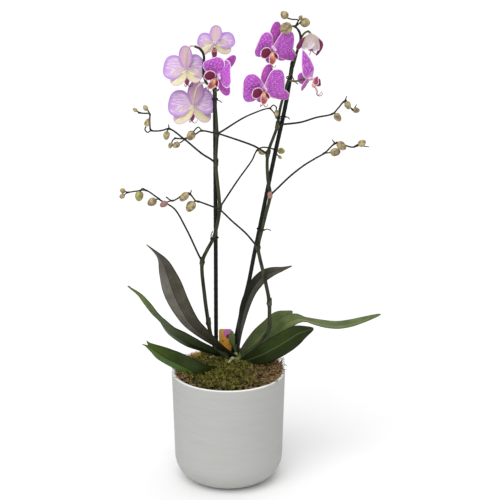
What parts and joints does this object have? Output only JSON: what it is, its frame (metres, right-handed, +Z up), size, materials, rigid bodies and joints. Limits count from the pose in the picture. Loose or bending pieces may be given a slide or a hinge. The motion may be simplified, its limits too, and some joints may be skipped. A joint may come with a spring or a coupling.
{
  "type": "potted moth orchid",
  "caption": "Moth orchid in a round ceramic pot: arching leaves, staked flower spikes with side branches, buds and violet blooms, moss over the bark.",
  "frame": {"origin": "centre of the pot's flat underside", "axes": "+Z up from the underside to the blooms, -Y towards the side seen in the picture, +X to its right"},
  "size_m": [0.3203, 0.14, 0.5869],
  "materials": {
    "pot": "matt off-white glaze with faint throwing lines",
    "liner": "dark growing pot, matt",
    "bark": "rough bark chips",
    "moss": "tufted moss with straw and brown threads",
    "crown": "fleshy, satin",
    "leaf_green": "fleshy, satin",
    "leaf_dark": "fleshy, satin",
    "leaf_olive": "fleshy, satin",
    "leaf_purple": "fleshy underside, satin",
    "root": "pale and velvety",
    "stake": "near-black green, satin",
    "spike": "olive flower stem, satin",
    "spray": "dark side branch with matt buds",
    "petal_back": "pale lilac tepals, soft and matt",
    "petal_front": "magenta-violet tepals, velvety",
    "petal_half_open": "cream to lilac tepals, soft",
    "lip": "crimson, waxy",
    "tie": "dark covered wire",
    "card": "printed and coated"
  },
  "bodies": {
    "root": {"pot": "pot", "nursery_pot": "liner", "bark_mix": "bark", "crown": "crown", "stake_left": "stake", "stake_right": "stake", "spike_left": "spike", "spike_right": "spike", "root_left": "root", "root_front": "root", "leaf_i": "leaf_olive", "leaf_d": "leaf_dark", "leaf_a": "leaf_purple", "leaf_e": "leaf_olive", "leaf_b": "leaf_green", "leaf_f": "leaf_olive", "leaf_g": "leaf_dark", "leaf_c": "leaf_green", "moss": "moss", "spray_left_1": "spray", "spray_left_2": "spray", "spray_left_3": "spray", "spray_left_4": "spray", "spray_right_1": "spray", "spray_right_2": "spray", "spray_right_3": "spray", "spray_right_4": "spray", "spray_right_top": "spray", "bloom_a": "petal_back", "lip_a": "lip", "bloom_b": "petal_back", "lip_b": "lip", "bloom_c": "petal_back", "lip_c": "lip", "bloom_d": "petal_front", "lip_d": "lip", "bloom_e": "petal_front", "lip_e": "lip", "bloom_f": "petal_front", "lip_f": "lip", "bloom_g": "petal_half_open", "lip_g": "lip", "bloom_h": "petal_front", "lip_h": "lip", "tie_left_low": "tie", "tie_left_high": "tie", "tie_right_low": "tie", "tie_right_mid": "tie", "tie_right_high": "tie", "care_card": "card"}
  },
  "joints": []
}
